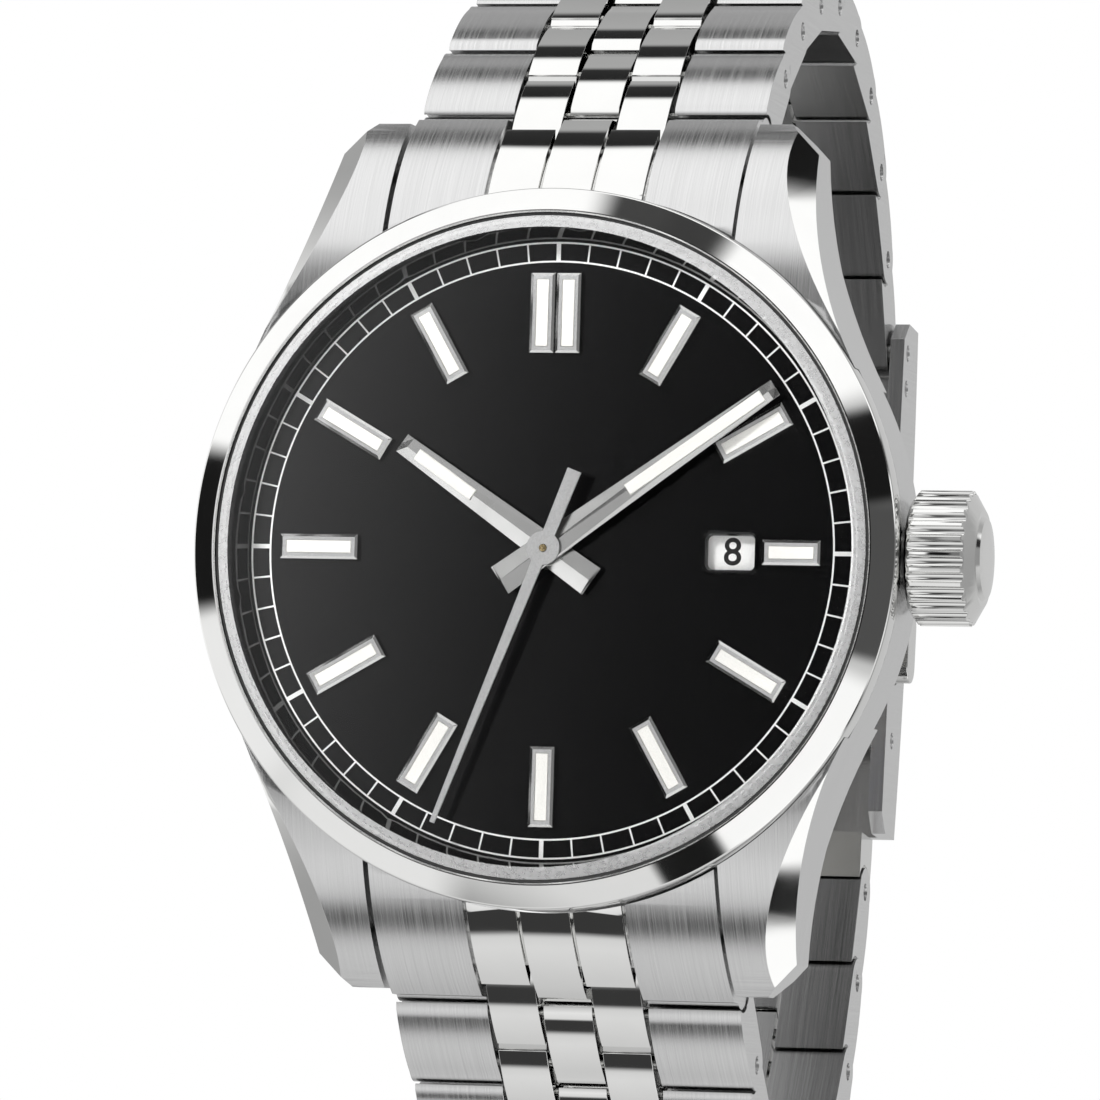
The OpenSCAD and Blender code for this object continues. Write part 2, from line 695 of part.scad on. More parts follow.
// The short end piece of the inner blade carries the connectors that meet the 6 side
module clasp_blade_inner() color("silver") in_clasp() {
    last = heading(strand_6, links - 1);
    tilt = (clasp_heading + last) / 2;
    difference() {
        union() {
            along_x(2 * blade_x) translate([knee_y + 1.2, -0.95]) square([cover_end - knee_y - 0.2, 0.7]);
            both_sides() translate([blade_x - 1.5, 0, 0]) along_x(3) {
                translate([knee_y, knee_z]) circle(r = knee_r);
                translate([knee_y, -0.95]) square([3, 0.7]);
            }
            along_x(width_clasp - 0.2) difference() {
                intersection() {
                    translate([clasp_len - pitch / 2, bow_h - bow_r]) circle(r = bow_r);
                    translate([cover_end + 0.15, -half_t]) square([clasp_len - cover_end, 2 * bow_h]);
                }
                translate([clasp_len, 0]) circle(r = knuckle_r + knuckle_gap);
            }
        }
        translate([0, knee_y, knee_z]) pin(knee_pin_r + press_play, 0, 30);
    }
    translate([0, clasp_len, 0]) difference() {
        connector_rows() intersection() {
            rotate(tilt) intersection() {
                bow(0);
                translate([-pitch, -half_t]) square([2 * pitch, 2 * bow_h]);
            }
            union() {
                circle(r = connector_r - 0.1);
                translate([-knuckle_r - knuckle_gap - 0.5, -half_t]) square([2, 2 * half_t]);
            }
        }
        pin(pin_r + press_play, 0, 30);
    }
    translate([0, clasp_len, 0]) both_sides() translate([row_pitch, 0, 0]) pin(pin_r, 0, row_w - 0.2);
    translate([0, knee_y, knee_z]) pin(knee_pin_r, 0, 2 * blade_x - 0.4);
}

// Side view of a push button: a rounded bar
module button_side(r) translate([button_y, 0.75]) {
    for (y = [-1.2, 1.2]) translate([y, 0]) circle(r = r);
    square([2.4, 2 * r], center = true);
}

module clasp_button() {
    outer = cover_x + button_travel + 0.3;
    translate([(button_inner_x + outer) / 2, 0, 0]) along_x(outer - button_inner_x) button_side(button_r);
}
module clasp_button_right() color("silver") in_clasp() clasp_button();
module clasp_button_left() color("silver") in_clasp() mirror([1, 0, 0]) clasp_button();

case_middle();
bezel();
crystal();
crystal_gasket();
rehaut();
case_back();
case_back_crystal();
case_back_gasket();
movement_holder();
crown_tube();
crown_gasket();
winding_stem();
crown();
end_link_12();
end_link_6();
lug_spring_bars();
dial();
hour_markers();
marker_lume();
date_ring();
hour_hand();
minute_hand();
seconds_hand();
main_plate();
train_bridge();
balance_cock();
movement_screws();
barrel();
second_wheel();
third_wheel();
fourth_wheel();
escape_wheel();
pallet_fork();
balance_wheel();
hairspring();
rotor();
clasp_cover();
clasp_blade_outer();
clasp_blade_inner();
clasp_pins();
clasp_button_right();
clasp_button_left();
for (i = [1:links]) bracelet_link(strand_12, i, true);
for (i = [1:links]) mirror([0, 0, 1]) bracelet_link(strand_6, i);
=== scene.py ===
"""Looks of the wristwatch: studio, materials, finished edges and the pieces that the CAD leaves plain.

The frame is the CAD's: +Z points to 12 o'clock, +X to the crown and the dial faces -Y. Lengths in
the sections on the bezel, the dial, the hands and the movement are in millimetres in the head's own
frame (x to 3 o'clock, y to 12 o'clock, z out of the dial); head_point() turns them into metres in the
part's frame. Clock angles are in degrees, clockwise from 12 o'clock as seen from the front.
"""
import math

import bmesh
import bpy
from mathutils import Matrix, Vector


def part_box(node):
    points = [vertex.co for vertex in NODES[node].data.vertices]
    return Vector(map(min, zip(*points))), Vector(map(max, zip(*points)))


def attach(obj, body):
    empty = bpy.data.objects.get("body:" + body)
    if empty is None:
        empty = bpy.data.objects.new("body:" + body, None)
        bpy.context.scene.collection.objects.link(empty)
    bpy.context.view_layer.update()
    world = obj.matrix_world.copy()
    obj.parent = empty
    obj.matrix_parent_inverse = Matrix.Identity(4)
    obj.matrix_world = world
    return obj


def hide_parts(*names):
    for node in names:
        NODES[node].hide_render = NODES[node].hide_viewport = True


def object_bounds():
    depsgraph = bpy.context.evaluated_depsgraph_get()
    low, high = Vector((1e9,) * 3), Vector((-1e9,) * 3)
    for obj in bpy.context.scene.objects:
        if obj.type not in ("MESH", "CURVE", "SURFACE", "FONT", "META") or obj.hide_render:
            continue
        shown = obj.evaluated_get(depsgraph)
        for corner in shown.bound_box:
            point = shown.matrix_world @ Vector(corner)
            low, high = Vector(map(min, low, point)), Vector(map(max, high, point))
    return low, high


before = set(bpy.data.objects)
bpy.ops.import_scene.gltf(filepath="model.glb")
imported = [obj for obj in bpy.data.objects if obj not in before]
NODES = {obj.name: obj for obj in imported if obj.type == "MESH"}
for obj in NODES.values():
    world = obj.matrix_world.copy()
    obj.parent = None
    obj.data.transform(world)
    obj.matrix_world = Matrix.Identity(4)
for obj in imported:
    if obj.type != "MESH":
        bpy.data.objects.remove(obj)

CAD_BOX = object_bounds()
MM = 0.001


def node_centre(name):
    """The middle of a CAD node's box, in metres."""
    low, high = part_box(name)
    return (low + high) / 2


def node_size(name):
    """The lengths of the sides of a CAD node's box, in metres."""
    low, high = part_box(name)
    return high - low


# ---------- Camera ----------

CAMERA_YAW = math.radians(13.7)
CAMERA_PITCH = math.radians(-3.77)
CAMERA_ROLL = math.radians(1.70)
CAMERA_DISTANCE = 0.494
CAMERA_LENS = 284.4
SENSOR = 36.0
# Direction from the dial to the camera
VIEW = Vector((
    math.sin(CAMERA_YAW) * math.cos(CAMERA_PITCH),
    -math.cos(CAMERA_YAW) * math.cos(CAMERA_PITCH),
    math.sin(CAMERA_PITCH),
))


def make_camera():
    """A long lens, a little to the crown's side of the dial and below it, aimed at the dial's centre."""
    dial_low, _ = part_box("dial")
    target = Vector((0.0, dial_low.y, 0.0))
    level = Vector((math.cos(CAMERA_YAW), math.sin(CAMERA_YAW), 0.0))
    upward = VIEW.cross(level)
    right = math.cos(CAMERA_ROLL) * level + math.sin(CAMERA_ROLL) * upward
    up = VIEW.cross(right)
    data = bpy.data.cameras.new("camera")
    data.lens = CAMERA_LENS
    data.sensor_width = SENSOR
    data.clip_start = 0.01
    data.clip_end = 20.0
    camera = bpy.data.objects.new("camera", data)
    axes = Matrix((right, up, VIEW)).transposed().to_4x4()
    camera.matrix_world = Matrix.Translation(target + CAMERA_DISTANCE * VIEW) @ axes
    bpy.context.scene.collection.objects.link(camera)
    bpy.context.scene.camera = camera


# ---------- Studio ----------

# Tone of the light tent by the angle from straight ahead of the dial, upward positive, in degrees.
# The dark middle keeps the dial black; the narrow dark strips draw the dark bands on polished links.
TENT_PROFILE = [
    (-180, 0.35), (-135, 0.35), (-112, 0.60), (-85, 0.75), (-79, 0.70), (-76, 0.04), (-65, 0.04),
    (-61, 0.75), (-45, 0.85), (-22, 0.60), (-8, 0.20), (20, 0.15), (33, 0.18), (38, 0.50), (45, 1.05),
    (60, 1.10), (62, 0.06), (70, 0.06), (73, 1.10), (101, 1.10), (104, 0.02), (114, 0.03),
    (117, 0.42), (135, 0.38), (180, 0.35),
]
TENT_STRENGTH = 1.15
# Round cards around the watch, each laid over those before it. A card has the direction of its middle,
# its half angle and the width of its soft edge in degrees, and its tone.
LEFT_CARD = ((-0.80, 0.45, 0.05), 24, 10, 1.00)
# These shape the bezel's cone: the clock angle where the card's middle shows takes the direction's place
BEZEL_CARDS = [
    (315, 25, 8, 1.10),
    (352.6, 14, 6, 1.10),
    (244.8, 12, 6, 0.90),
    (209.7, 14, 8, 0.85),
    (272.3, 10, 3, 0.01),
    (128.9, 18, 4, 1.05),
    (152.5, 6, 2, 0.01),
    (46, 17, 4, 1.10),
    (25.5, 5, 5, 0.05),
    (95, 13, 2.5, 0.08),
    (74, 8, 2.5, 0.01),
]
# These lie to the right, and shape the crown and the facets of the right lugs
CROWN_CARDS = [
    ((0.99, 0.03, 0.05), 12, 5, 0.30),
    ((0.72, 0.03, 0.70), 20, 3, 1.10),
    ((0.43, 0.31, 0.85), 9, 3, 0.01),
    ((0.68, 0.06, -0.72), 20, 3, 1.10),
    ((0.657, 0.076, -0.751), 3.5, 2, 0.01),
]
# These lie in front and to the left, and shape the markers, the hands and the dial's gloss
FRONT_CARDS = [
    ((-0.85, -0.53, 0.07), 9, 4, 1.10),
    ((-0.47, -0.84, -0.27), 9, 5, 1.00),
    ((0.00, -0.91, 0.42), 9, 5, 0.42),
    ((-0.47, -0.79, 0.39), 8, 5, 0.60),
    ((-0.34, -0.93, 0.12), 6, 6, 1.10),
    ((-0.13, -0.985, 0.06), 7.3, 4, 0.01),
]
BACK_CARD = ((0.24, 0.97, 0.00), 40, 20, 0.55)
# Name, place, side in metres and power in watts of each softbox
SOFTBOXES = [
    ("key", (-0.28, -0.42, 0.34), 0.14, 6.0),
    ("fill", (0.40, -0.30, 0.20), 0.30, 2.0),
]
FLOOR_HALF = 1.5
FLOOR_GAP = 0.0002


def new_node(tree, kind, **settings):
    """A shader node; settings are its properties, and those named after a socket set that socket."""
    node = tree.nodes.new(kind)
    for name, value in settings.items():
        if name in node.inputs:
            node.inputs[name].default_value = value
        else:
            setattr(node, name, value)
    return node


def maths(tree, operation, *values):
    """A maths node fed by sockets or plain numbers; returns its result."""
    node = new_node(tree, "ShaderNodeMath", operation=operation)
    for socket, value in zip(node.inputs, values):
        if isinstance(value, bpy.types.NodeSocket):
            tree.links.new(value, socket)
        else:
            socket.default_value = value
    return node.outputs[0]


def tent_profile(tree, direction):
    """Grey tone of the tent from the direction's angle above straight ahead."""
    angle = maths(tree, "ARCTAN2", direction[2], maths(tree, "MULTIPLY", direction[1], -1.0))
    share = maths(tree, "ADD", maths(tree, "DIVIDE", angle, 2 * math.pi), 0.5)
    ramp = new_node(tree, "ShaderNodeValToRGB")
    tree.links.new(share, ramp.inputs["Fac"])
    stops = ramp.color_ramp.elements
    while len(stops) < len(TENT_PROFILE):
        stops.new(0.5)
    for stop, (degrees, tone) in zip(stops, TENT_PROFILE):
        stop.position = degrees / 360 + 0.5
        stop.color = (tone, tone, tone, 1.0)
    return ramp.outputs["Color"]


def seen_in_bezel(clock_angle):
    """Direction that the bezel's cone mirrors to the camera at a clock angle."""
    tilt = bezel_tilt()
    turn = math.radians(clock_angle)
    normal = Vector((
        math.sin(tilt) * math.sin(turn),
        -math.cos(tilt),
        math.sin(tilt) * math.cos(turn),
    ))
    return 2 * normal.dot(VIEW) * normal - VIEW


def all_cards():
    """Every card in the order that they are laid, with its direction."""
    bezel_cards = [(seen_in_bezel(clock_angle), *rest) for clock_angle, *rest in BEZEL_CARDS]
    return [LEFT_CARD, *bezel_cards, *CROWN_CARDS, *FRONT_CARDS, BACK_CARD]


def add_card(tree, below, vector, card):
    """Lays one round card with a soft edge over the tones below it."""
    direction, half_angle, soft, tone = card
    dot = new_node(tree, "ShaderNodeVectorMath", operation="DOT_PRODUCT")
    tree.links.new(vector, dot.inputs[0])
    dot.inputs[1].default_value = Vector(direction).normalized()
    edge = new_node(tree, "ShaderNodeMapRange", interpolation_type="SMOOTHSTEP")
    edge.inputs["From Min"].default_value = math.cos(math.radians(half_angle + soft / 2))
    edge.inputs["From Max"].default_value = math.cos(math.radians(half_angle - soft / 2))
    tree.links.new(dot.outputs["Value"], edge.inputs["Value"])
    return between(tree, edge.outputs["Result"], below, (tone, tone, tone))


def make_tent():
    """A white backdrop for the camera, and a light tent with its cards for everything else."""
    world = bpy.data.worlds.new("tent")
    world.use_nodes = True
    bpy.context.scene.world = world
    tree = world.node_tree
    tree.nodes.clear()
    vector = new_node(tree, "ShaderNodeTexCoord").outputs["Generated"]
    split = new_node(tree, "ShaderNodeSeparateXYZ")
    tree.links.new(vector, split.inputs[0])
    tone = tent_profile(tree, split.outputs)
    for card in all_cards():
        tone = add_card(tree, tone, vector, card)
    tent = new_node(tree, "ShaderNodeBackground", Strength=TENT_STRENGTH)
    tree.links.new(tone, tent.inputs["Color"])
    backdrop = new_node(tree, "ShaderNodeBackground", Strength=1.0, Color=(1, 1, 1, 1))
    seen = new_node(tree, "ShaderNodeLightPath").outputs["Is Camera Ray"]
    mix = new_node(tree, "ShaderNodeMixShader")
    output = new_node(tree, "ShaderNodeOutputWorld")
    tree.links.new(seen, mix.inputs[0])
    tree.links.new(tent.outputs[0], mix.inputs[1])
    tree.links.new(backdrop.outputs[0], mix.inputs[2])
    tree.links.new(mix.outputs[0], output.inputs["Surface"])


def make_lamp(name, place, size, power):
    """A square softbox aimed at the head; it casts shadows, but mirrors show only the tent."""
    data = bpy.data.lights.new(name, "AREA")
    data.size = size
    data.energy = power
    lamp = bpy.data.objects.new(name, data)
    lamp.location = place
    lamp.rotation_euler = (-Vector(place)).to_track_quat("-Z", "Y").to_euler()
    lamp.visible_glossy = False
    bpy.context.scene.collection.objects.link(lamp)


def make_floor(material):
    """A wide pale floor just under the bracelet."""
    mesh = bpy.data.meshes.new("floor")
    height = CAD_BOX[0].z - FLOOR_GAP
    quarters = ((-1, -1), (1, -1), (1, 1), (-1, 1))
    mesh.from_pydata([(FLOOR_HALF * x, FLOOR_HALF * y, height) for x, y in quarters], [], [(0, 1, 2, 3)])
    floor = bpy.data.objects.new("floor", mesh)
    floor.visible_glossy = False
    mesh.materials.append(material)
    bpy.context.scene.collection.objects.link(floor)


# ---------- Materials ----------

def principled(name, colour, metallic, roughness, **sockets):
    """A material whose even values sit on its Principled shader; returns it with its shader."""
    material = bpy.data.materials.new(name)
    material.use_nodes = True
    shader = material.node_tree.nodes["Principled BSDF"]
    shader.inputs["Base Color"].default_value = (*colour, 1.0)
    shader.inputs["Metallic"].default_value = metallic
    shader.inputs["Roughness"].default_value = roughness
    for socket, value in sockets.items():
        shader.inputs[socket.replace("_", " ")].default_value = value
    return material, shader


def noise(tree, repeats, detail=2.0):
    """Noise fixed to the piece, with its repeats per metre along X, Y and Z."""
    place = new_node(tree, "ShaderNodeTexCoord").outputs["Object"]
    scale = new_node(tree, "ShaderNodeVectorMath", operation="MULTIPLY")
    tree.links.new(place, scale.inputs[0])
    scale.inputs[1].default_value = repeats
    pattern = new_node(tree, "ShaderNodeTexNoise", Scale=1.0, Detail=detail)
    tree.links.new(scale.outputs[0], pattern.inputs["Vector"])
    return pattern.outputs["Fac"]


def spread(tree, value, low, high, start=0.3, end=0.7):
    """The value's range from start to end, stretched to run from low to high."""
    node = new_node(tree, "ShaderNodeMapRange")
    for name, number in (("From Min", start), ("From Max", end), ("To Min", low), ("To Max", high)):
        node.inputs[name].default_value = number
    tree.links.new(value, node.inputs["Value"])
    return node.outputs["Result"]


# A Mix node's numbers and colours share their sockets' names; these are the places of its colours
COLOUR_A = 6
COLOUR_B = 7
COLOUR_RESULT = 2


def between(tree, share, first, second):
    """Mixes two tones or sockets by a share."""
    mix = new_node(tree, "ShaderNodeMix", data_type="RGBA")
    tree.links.new(share, mix.inputs["Factor"])
    for socket, tone in ((mix.inputs[COLOUR_A], first), (mix.inputs[COLOUR_B], second)):
        if isinstance(tone, bpy.types.NodeSocket):
            tree.links.new(tone, socket)
        else:
            socket.default_value = (*tone, 1.0)
    return mix.outputs[COLOUR_RESULT]


def facing(tree, axis, low, high):
    """1 where the surface faces along an axis of the piece, 0 where it faces across it."""
    normal = new_node(tree, "ShaderNodeNewGeometry").outputs["Normal"]
    split = new_node(tree, "ShaderNodeSeparateXYZ")
    tree.links.new(normal, split.inputs[0])
    return spread(tree, maths(tree, "ABSOLUTE", split.outputs[axis]), 0.0, 1.0, low, high)


def give_relief(tree, shader, height, depth):
    """Bumps the surface by a height pattern; depth is in metres."""
    bump = new_node(tree, "ShaderNodeBump", Strength=1.0, Distance=depth)
    tree.links.new(height, bump.inputs["Height"])
    tree.links.new(bump.outputs["Normal"], shader.inputs["Normal"])


# Repeats per metre across and along the brush lines
STREAKS_ACROSS = 16000
STREAKS_ALONG = 120


def streaks(tree, across):
    """Brush lines: fine across one axis and long along the other two."""
    repeats = [STREAKS_ALONG] * 3
    repeats[across] = STREAKS_ACROSS
    return noise(tree, repeats, 3.0)


def brushed_steel(name, turned_axis, tone=0.66, roughness=0.22, depth=0.7e-6):
    """Steel brushed in lines across X, except on faces along turned_axis, where the lines turn."""
    material, shader = principled(name, (tone, tone, tone * 0.99), 1.0, roughness)
    tree = material.node_tree
    other = 2 if turned_axis == 0 else 1
    side = facing(tree, turned_axis, 0.55, 0.75)
    if turned_axis == 1:
        side = maths(tree, "SUBTRACT", 1.0, side)
    lines = new_node(tree, "ShaderNodeMix")
    tree.links.new(side, lines.inputs["Factor"])
    tree.links.new(streaks(tree, 0), lines.inputs["A"])
    tree.links.new(streaks(tree, other), lines.inputs["B"])
    pattern = lines.outputs["Result"]
    dark = (tone * 0.92,) * 3
    light = (min(tone * 1.07, 1.0),) * 3
    tree.links.new(between(tree, spread(tree, pattern, 0, 1), dark, light), shader.inputs["Base Color"])
    tree.links.new(spread(tree, pattern, roughness - 0.03, roughness + 0.05), shader.inputs["Roughness"])
    give_relief(tree, shader, pattern, depth)
    return material


def polished_metal(name, colour, roughness=0.05):
    """Mirror-polished metal with the faint smears that polishing leaves."""
    material, shader = principled(name, colour, 1.0, roughness)
    tree = material.node_tree
    smears = noise(tree, (500, 500, 500), 3.0)
    tree.links.new(spread(tree, smears, roughness * 0.8, roughness * 1.25), shader.inputs["Roughness"])
    dark = tuple(c * 0.95 for c in colour)
    tree.links.new(between(tree, smears, dark, colour), shader.inputs["Base Color"])
    return material


def satin_metal(name, colour, roughness=0.3, metallic=1.0):
    """Metal with a fine even grain; a plated matt one is less metallic."""
    material, shader = principled(name, colour, metallic, roughness)
    tree = material.node_tree
    grain = noise(tree, (9000, 9000, 9000), 3.0)
    dark = tuple(c * 0.82 for c in colour)
    tree.links.new(between(tree, spread(tree, grain, 0, 1), dark, colour), shader.inputs["Base Color"])
    tree.links.new(spread(tree, grain, roughness - 0.05, roughness + 0.1), shader.inputs["Roughness"])
    give_relief(tree, shader, grain, 1.5e-6)
    return material


def striped_metal(name, colour, stripes_per_m):
    """Plated metal with broad rolled stripes across the plate, each brushed at its own tilt."""
    material, shader = principled(name, colour, 1.0, 0.28)
    tree = material.node_tree
    place = new_node(tree, "ShaderNodeTexCoord").outputs["Object"]
    split = new_node(tree, "ShaderNodeSeparateXYZ")
    tree.links.new(place, split.inputs[0])
    saw = maths(tree, "FRACT", maths(tree, "MULTIPLY", split.outputs[0], stripes_per_m))
    grain = noise(tree, (20000, 300, 300), 2.0)
    tone = maths(tree, "ADD", maths(tree, "MULTIPLY", saw, 0.75), maths(tree, "MULTIPLY", grain, 0.25))
    dark = tuple(c * 0.62 for c in colour)
    tree.links.new(between(tree, tone, dark, colour), shader.inputs["Base Color"])
    tree.links.new(spread(tree, tone, 0.2, 0.36, 0.0, 1.0), shader.inputs["Roughness"])
    give_relief(tree, shader, saw, 2.5e-5)
    return material


def coated(name, colour, roughness, grain_size, depth, vary=0.15, **sockets):
    """Paint, plastic or rubber: a fine grain in its colour, its gloss and its surface."""
    material, shader = principled(name, colour, 0.0, roughness, **sockets)
    tree = material.node_tree
    grain = noise(tree, (1 / grain_size,) * 3, 3.0)
    dark = tuple(c * (1 - vary) for c in colour)
    light = tuple(min(c * (1 + vary), 1.0) for c in colour)
    tree.links.new(between(tree, spread(tree, grain, 0, 1), dark, light), shader.inputs["Base Color"])
    tree.links.new(spread(tree, grain, roughness * 0.85, roughness * 1.15), shader.inputs["Roughness"])
    give_relief(tree, shader, grain, depth)
    return material


def clear_glass(name, ior):
    """Clear glass that mirrors more at grazing angles.

    It doesn't bend light, and its inner faces mirror all of it past about 48 degrees, so what lies
    behind it shows only from nearer the front.
    """
    material = bpy.data.materials.new(name)
    material.use_nodes = True
    tree = material.node_tree
    tree.nodes.clear()
    through = new_node(tree, "ShaderNodeBsdfTransparent")
    mirror = new_node(tree, "ShaderNodeBsdfGlossy", Roughness=0.02)
    mix_into_output(tree, new_node(tree, "ShaderNodeFresnel", IOR=ior).outputs[0], through, mirror)
    return material


def ground_glass(name, share):
    """Finely ground glass: it scatters a share of the light, and a fine grain varies that share."""
    material = bpy.data.materials.new(name)
    material.use_nodes = True
    tree = material.node_tree
    tree.nodes.clear()
    through = new_node(tree, "ShaderNodeBsdfTransparent")
    scatter = new_node(tree, "ShaderNodeBsdfDiffuse", Color=(0.8, 0.8, 0.8, 1.0))
    grain = noise(tree, (3000, 3000, 3000))
    mix_into_output(tree, spread(tree, grain, share * 0.9, share * 1.1), through, scatter)
    return material


def mix_into_output(tree, share, first, second):
    """Mixes two shaders by a share and makes them the material's surface."""
    mix = new_node(tree, "ShaderNodeMixShader")
    tree.links.new(share, mix.inputs[0])
    tree.links.new(first.outputs[0], mix.inputs[1])
    tree.links.new(second.outputs[0], mix.inputs[2])
    output = new_node(tree, "ShaderNodeOutputMaterial")
    tree.links.new(mix.outputs[0], output.inputs["Surface"])


STEEL = (0.80, 0.80, 0.79)
case_steel = brushed_steel("case_steel", turned_axis=1)
link_steel = brushed_steel("link_steel", turned_axis=0)
# Painted shade: a darker copy of the link steel for the links' inner faces, standing in for the shade of
# the head and its dark reflection there
link_painted_shade = brushed_steel("link_painted_shade", turned_axis=0, tone=0.34)
polished_steel = polished_metal("polished_steel", STEEL)
soft_polish = polished_metal("soft_polish", (0.74, 0.74, 0.73), roughness=0.12)
satin_steel = satin_metal("satin_steel", (0.60, 0.60, 0.59))
marker_steel = polished_metal("marker_steel", (0.92, 0.92, 0.91), roughness=0.12)
hand_steel = polished_metal("hand_steel", (0.92, 0.92, 0.91), roughness=0.2)
matt_plating = satin_metal("matt_plating", (0.62, 0.62, 0.62), roughness=0.4, metallic=0.35)
plated_stripes = striped_metal("plated_stripes", (0.78, 0.77, 0.74), 620)
plated_grain = satin_metal("plated_grain", (0.74, 0.73, 0.70), roughness=0.34)
gilt_brass = satin_metal("gilt_brass", (0.86, 0.68, 0.36), roughness=0.25)
blued_steel = polished_metal("blued_steel", (0.05, 0.10, 0.42), roughness=0.12)
spring_alloy = satin_metal("spring_alloy", (0.42, 0.48, 0.60), roughness=0.25)
dial_lacquer = coated("dial_lacquer", (0.0022, 0.0022, 0.0024), 0.13, 0.00012, 1.0e-7, vary=0.3)
flange_black = coated("flange_black", (0.004, 0.004, 0.0042), 0.10, 0.00010, 1.0e-7, vary=0.3)
lume_paint = coated("lume_paint", (0.93, 0.92, 0.88), 0.55, 0.00006, 2.0e-6, vary=0.05)
date_paint = coated("date_paint", (0.90, 0.90, 0.89), 0.45, 0.00010, 5.0e-7, vary=0.04)
print_white = coated("print_white", (0.86, 0.86, 0.85), 0.45, 0.00008, 5.0e-7, vary=0.06)
print_black = coated("print_black", (0.02, 0.02, 0.02), 0.45, 0.00008, 5.0e-7, vary=0.3)
gasket_rubber = coated("gasket_rubber", (0.02, 0.02, 0.02), 0.6, 0.00010, 2.0e-6, vary=0.3)
holder_plastic = coated("holder_plastic", (0.25, 0.25, 0.26), 0.5, 0.00030, 3.0e-6)
jewel_ruby = coated("jewel_ruby", (0.50, 0.02, 0.08), 0.08, 0.00030, 0.0, vary=0.2, Coat_Weight=0.6)
floor_paper = coated("floor_paper", (0.86, 0.86, 0.86), 0.7, 0.004, 1.0e-5, vary=0.02)
sapphire = clear_glass("sapphire", 1.35)
sapphire_edge = ground_glass("sapphire_edge", 0.3)

# ---------- CAD nodes: finish of their edges, and material ----------

BRACELET_LINKS = [f"link_{side}_{i}" for side in (12, 6) for i in range(1, 10)]
END_LINKS = ["end_link_12", "end_link_6"]
# Half the width of the polished centre rows
CENTRE_ROWS = 4.655 * MM
# Depth of the middle of the bracelet's loop
LOOP_CENTRE_Y = 0.020
# Material and edge radius in millimetres of each CAD node that stays in view
NODE_LOOKS = {
    "case_middle": (case_steel, 0.12),
    "crystal": (sapphire, 0.04),
    "crystal_gasket": (gasket_rubber, 0.03),
    "rehaut": (flange_black, 0.05),
    "case_back": (case_steel, 0.10),
    "case_back_crystal": (sapphire, 0.04),
    "case_back_gasket": (gasket_rubber, 0.03),
    "movement_holder": (holder_plastic, 0.05),
    "crown_tube": (satin_steel, 0.04),
    "crown_gasket": (gasket_rubber, 0.0),
    "winding_stem": (satin_steel, 0.04),
    "crown": (polished_steel, 0.07),
    "lug_spring_bars": (satin_steel, 0.05),
    "dial": (dial_lacquer, 0.03),
    "marker_lume": (lume_paint, 0.02),
    "date_ring": (date_paint, 0.02),
    "seconds_hand": (matt_plating, 0.03),
    "main_plate": (plated_grain, 0.04),
    "train_bridge": (plated_stripes, 0.07),
    "balance_cock": (plated_stripes, 0.07),
    "movement_screws": (blued_steel, 0.03),
    "barrel": (gilt_brass, 0.03),
    "second_wheel": (gilt_brass, 0.02),
    "third_wheel": (gilt_brass, 0.02),
    "fourth_wheel": (gilt_brass, 0.02),
    "escape_wheel": (satin_steel, 0.02),
    "pallet_fork": (satin_steel, 0.02),
    "balance_wheel": (gilt_brass, 0.03),
    "hairspring": (spring_alloy, 0.0),
    "rotor": (plated_stripes, 0.06),
    "clasp_cover": (link_steel, 0.14),
    "clasp_blade_outer": (soft_polish, 0.08),
    "clasp_blade_inner": (soft_polish, 0.08),
    "clasp_pins": (satin_steel, 0.05),
    "clasp_button_right": (soft_polish, 0.08),
    "clasp_button_left": (soft_polish, 0.08),
}
NODE_LOOKS.update({name: (link_steel, 0.16) for name in BRACELET_LINKS + END_LINKS})
# Faces closer to one plane than this are joined; edges sharper than the other angle are rounded
FLAT_ANGLE = math.radians(0.6)
SHARP_ANGLE = math.radians(28)
EDGE_SEGMENTS = 2


def smooth(mesh):
    """Shades every face smooth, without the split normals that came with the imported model."""
    if "custom_normal" in mesh.attributes:
        mesh.attributes.remove(mesh.attributes["custom_normal"])
    mesh.shade_smooth()


def round_edges(piece, width):
    """Merges the tessellation into clean faces, rounds the sharp edges and evens the shading."""
    weld = piece.modifiers.new("weld", "WELD")
    weld.merge_threshold = 1.0e-6
    flatten = piece.modifiers.new("flatten", "DECIMATE")
    flatten.decimate_type = "DISSOLVE"
    flatten.angle_limit = FLAT_ANGLE
    flatten.delimit = {"MATERIAL"}
    if width > 0:
        bevel = piece.modifiers.new("bevel", "BEVEL")
        bevel.width = width
        bevel.segments = EDGE_SEGMENTS
        bevel.limit_method = "ANGLE"
        bevel.angle_limit = SHARP_ANGLE
        bevel.use_clamp_overlap = True
        bevel.miter_outer = "MITER_ARC"
    evened = piece.modifiers.new("evened", "WEIGHTED_NORMAL")
    evened.keep_sharp = False
    evened.weight = 60


def set_material(piece, *materials):
    """Gives a piece its materials; every face starts on the first."""
    piece.data.materials.clear()
    for material in materials:
        piece.data.materials.append(material)
    for face in piece.data.polygons:
        face.material_index = 0


def pick_faces(piece, index, wanted):
    """Puts the faces whose centre and normal pass the test on another material."""
    for face in piece.data.polygons:
        if wanted(face.center, face.normal):
            face.material_index = index


def in_centre_rows(centre, normal):
    """True on the three polished rows in the middle of the bracelet."""
    return abs(centre.x) < CENTRE_ROWS


def faces_wrist(centre, normal):
    """True on the side of a link that lies against the wrist, which is painted darker as painted shade."""
    inward = Vector((0.0, LOOP_CENTRE_Y - centre.y, -centre.z)).normalized()
    return normal.dot(inward) > 0.7


def on_lug_facet(centre, normal):
    """True on the slanted facet along a lug's outer edge."""
    return normal.y < -0.4 and abs(normal.x) > 0.5 and abs(normal.z) > 0.4


def faces_front(centre, normal):
    """True on faces that lie flat towards the camera's side."""
    return normal.y < -0.99


def on_crystal_bevel(centre, normal):
    """True on the slanted ring around the crystal's front."""
    return -0.95 < normal.y < -0.2


